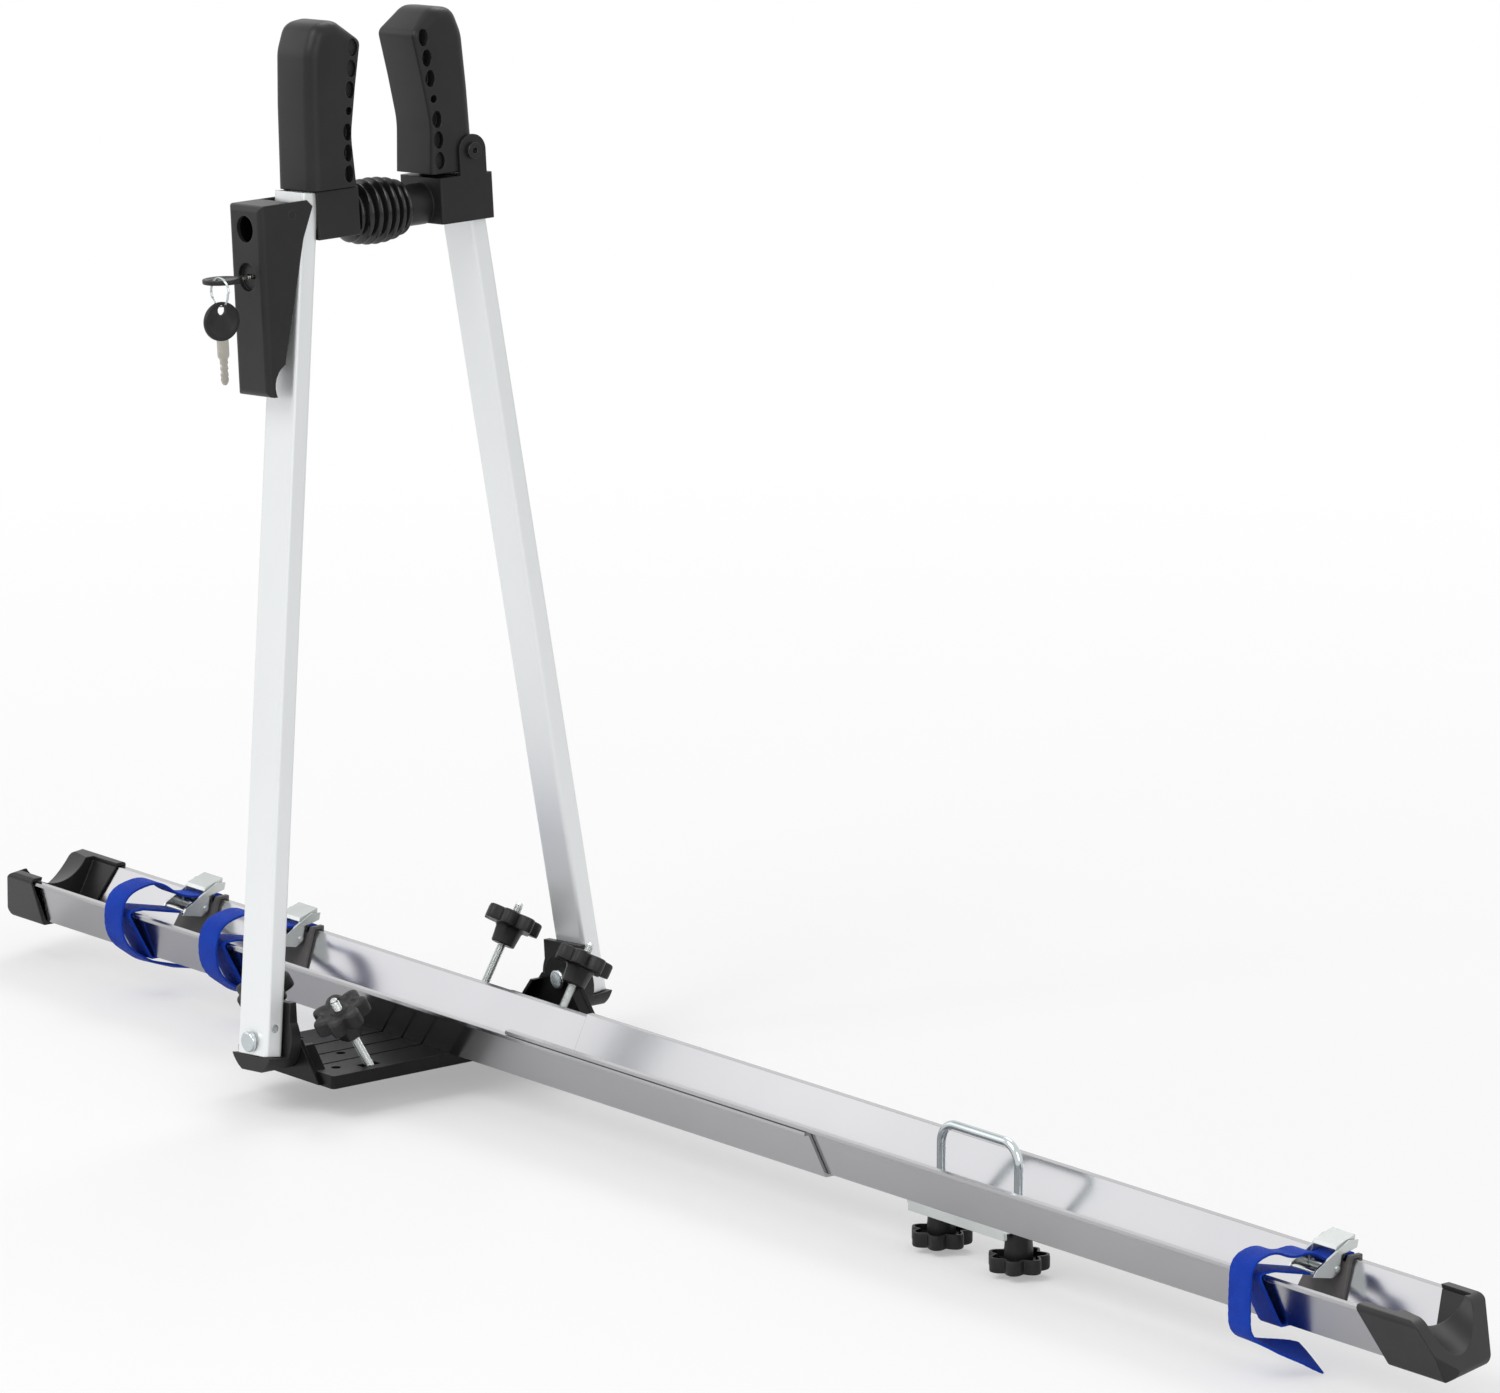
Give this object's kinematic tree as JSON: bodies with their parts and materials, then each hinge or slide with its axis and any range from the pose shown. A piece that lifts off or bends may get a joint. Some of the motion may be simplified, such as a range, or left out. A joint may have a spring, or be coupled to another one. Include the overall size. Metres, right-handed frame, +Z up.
{
  "type": "roof mounted bike carrier",
  "caption": "Roof bike carrier: nested channel rail on a base plate, folding A-frame with a lever operated lockable frame clamp, wheel straps and a U-bolt rear clamp.",
  "frame": {"origin": "underside of the base plate, midway between its edges, where it rests on the front load bar", "axes": "+X along the rail to the rear of the car, +Y across the rail to the far arm, +Z up"},
  "size_m": [1.509, 0.302, 0.7184],
  "materials": {
    "rail_aluminium": "satin",
    "arm_aluminium": "satin anodised",
    "black_plate": "satin black",
    "black_plastic": "fine grained satin",
    "black_rubber": "smooth",
    "pad_rubber": "matt",
    "blue_webbing": "woven",
    "zinc_steel": "zinc plated",
    "bright_steel": "polished",
    "key_steel": "nickel plated"
  },
  "bodies": {
    "carrier": {"front_rail": "rail_aluminium", "rear_rail": "rail_aluminium", "rail_joint_screws": "zinc_steel", "rail_joint_nuts": "zinc_steel", "front_end_cap": "black_plastic", "rear_end_cap": "black_plastic", "base_plate": "black_plate", "near_foot_bracket": "black_plate", "far_foot_bracket": "black_plate", "wheel_strap_1": "blue_webbing", "strap_pad_1": "pad_rubber", "buckle_frame_1": "zinc_steel", "buckle_pin_1": "zinc_steel", "wheel_strap_2": "blue_webbing", "strap_pad_2": "pad_rubber", "buckle_frame_2": "zinc_steel", "buckle_pin_2": "zinc_steel", "wheel_strap_3": "blue_webbing", "strap_pad_3": "pad_rubber", "buckle_frame_3": "zinc_steel", "buckle_pin_3": "zinc_steel"},
    "a_frame": {"near_arm": "arm_aluminium", "near_arm_shoe": "black_plastic", "far_arm_shoe": "black_plastic", "near_cross_pin": "zinc_steel", "far_cross_pin": "zinc_steel", "near_pivot_bolt": "bright_steel", "far_pivot_bolt": "bright_steel", "near_clamp_block": "black_plastic", "clamp_rod": "zinc_steel", "clamp_bellows": "black_rubber", "near_jaw": "black_plastic", "lever_hinge_block": "black_plastic", "lever_pin": "zinc_steel"},
    "far_arm_group": {"far_arm": "arm_aluminium", "far_clamp_block": "black_plastic", "far_jaw": "black_plastic", "jaw_screw": "bright_steel"},
    "lever_group": {"clamp_lever": "black_plastic"},
    "nut_group": {"adjusting_nut": "zinc_steel"},
    "lock_group": {"lock_plug": "bright_steel", "lock_key": "key_steel"},
    "ring_group": {"key_ring": "bright_steel"},
    "spare_key_group": {"spare_key": "key_steel"},
    "rear_clamp_group": {"u_bolt": "bright_steel", "rear_clamp_plate": "zinc_steel"},
    "near_front_bolt_group": {"near_front_bolt": "zinc_steel"},
    "near_front_knob_group": {"near_front_knob": "black_plastic"},
    "near_rear_bolt_group": {"near_rear_bolt": "zinc_steel"},
    "near_rear_knob_group": {"near_rear_knob": "black_plastic"},
    "far_front_bolt_group": {"far_front_bolt": "zinc_steel"},
    "far_front_knob_group": {"far_front_knob": "black_plastic"},
    "far_rear_bolt_group": {"far_rear_bolt": "zinc_steel"},
    "far_rear_knob_group": {"far_rear_knob": "black_plastic"},
    "rear_clamp_front_knob_group": {"rear_clamp_front_knob": "black_plastic"},
    "rear_clamp_rear_knob_group": {"rear_clamp_rear_knob": "black_plastic"},
    "buckle_lever_1_group": {"buckle_lever_1": "zinc_steel"},
    "buckle_lever_2_group": {"buckle_lever_2": "zinc_steel"},
    "buckle_lever_3_group": {"buckle_lever_3": "zinc_steel"}
  },
  "joints": [
    {"name": "a_frame_fold", "type": "hinge", "parent": "carrier", "child": "a_frame", "pos_m": [0, 0, 0.027], "axis": [0, 1, 0], "range_deg": [0, 86]},
    {"name": "far_arm_spread", "type": "hinge", "parent": "a_frame", "child": "far_arm_group", "pos_m": [-0.00072, 0.13589, 0.0359], "axis": [-0.9968, 0, -0.0802], "range_deg": [0, 3], "deforming": ["clamp_bellows"]},
    {"name": "lever_open", "type": "hinge", "parent": "a_frame", "child": "lever_group", "pos_m": [-0.04416, -0.08513, 0.57583], "axis": [-0.9968, 0, -0.0802], "range_deg": [0, 90]},
    {"name": "adjusting_nut_spin", "type": "hinge", "parent": "a_frame", "child": "nut_group", "pos_m": [-0.04355, -0.09312, 0.56825], "axis": [0, 1, 0], "continuous": true},
    {"name": "lock_turn", "type": "hinge", "parent": "lever_group", "child": "lock_group", "pos_m": [-0.04098, -0.10375, 0.53635], "axis": [0, 1, 0], "range_deg": [0, 90]},
    {"name": "key_ring_turn", "type": "hinge", "parent": "lock_group", "child": "ring_group", "pos_m": [-0.03368, -0.13935, 0.53072], "axis": [0, 1, 0], "continuous": true},
    {"name": "spare_key_swing", "type": "hinge", "parent": "lock_group", "child": "spare_key_group", "pos_m": [-0.03273, -0.13935, 0.51891], "axis": [0.9968, 0, 0.0802], "range_deg": [-30, 15]},
    {"name": "near_front_bolt_swing", "type": "hinge", "parent": "carrier", "child": "near_front_bolt_group", "pos_m": [-0.043, -0.076, 0.0045], "axis": [-1, 0, 0], "range_deg": [0, 31]},
    {"name": "near_front_knob_spin", "type": "hinge", "parent": "near_front_bolt_group", "child": "near_front_knob_group", "pos_m": [-0.043, -0.10175, 0.04736], "axis": [0, -0.515, 0.8572], "continuous": true},
    {"name": "near_rear_bolt_swing", "type": "hinge", "parent": "carrier", "child": "near_rear_bolt_group", "pos_m": [0.043, -0.076, 0.0045], "axis": [-1, 0, 0], "range_deg": [0, 31]},
    {"name": "near_rear_knob_spin", "type": "hinge", "parent": "near_rear_bolt_group", "child": "near_rear_knob_group", "pos_m": [0.043, -0.10175, 0.04736], "axis": [0, -0.515, 0.8572], "continuous": true},
    {"name": "far_front_bolt_swing", "type": "hinge", "parent": "carrier", "child": "far_front_bolt_group", "pos_m": [-0.043, 0.076, 0.0045], "axis": [1, 0, 0], "range_deg": [0, 31]},
    {"name": "far_front_knob_spin", "type": "hinge", "parent": "far_front_bolt_group", "child": "far_front_knob_group", "pos_m": [-0.043, 0.10999, 0.06107], "axis": [0, 0.515, 0.8572], "continuous": true},
    {"name": "far_rear_bolt_swing", "type": "hinge", "parent": "carrier", "child": "far_rear_bolt_group", "pos_m": [0.043, 0.076, 0.0045], "axis": [1, 0, 0], "range_deg": [0, 31]},
    {"name": "far_rear_knob_spin", "type": "hinge", "parent": "far_rear_bolt_group", "child": "far_rear_knob_group", "pos_m": [0.043, 0.10381, 0.05079], "axis": [0, 0.515, 0.8572], "continuous": true},
    {"name": "rear_clamp_slide", "type": "slide", "parent": "carrier", "child": "rear_clamp_group", "axis": [0, 0, 1], "range_m": [-0.035, 0]},
    {"name": "rear_clamp_front_knob_spin", "type": "hinge", "parent": "rear_clamp_group", "child": "rear_clamp_front_knob_group", "pos_m": [0.54575, 0, -0.01], "axis": [0, 0, 1], "continuous": true},
    {"name": "rear_clamp_rear_knob_spin", "type": "hinge", "parent": "rear_clamp_group", "child": "rear_clamp_rear_knob_group", "pos_m": [0.62225, 0, -0.01], "axis": [0, 0, 1], "continuous": true},
    {"name": "buckle_lever_1_open", "type": "hinge", "parent": "carrier", "child": "buckle_lever_1_group", "pos_m": [-0.292, 0.02344, 0.0366], "axis": [1, 0, 0], "range_deg": [0, 24]},
    {"name": "buckle_lever_2_open", "type": "hinge", "parent": "carrier", "child": "buckle_lever_2_group", "pos_m": [-0.182, 0.02344, 0.0366], "axis": [1, 0, 0], "range_deg": [0, 24]},
    {"name": "buckle_lever_3_open", "type": "hinge", "parent": "carrier", "child": "buckle_lever_3_group", "pos_m": [0.888, 0.02232, 0.0393], "axis": [1, 0, 0], "range_deg": [0, 24]}
  ]
}
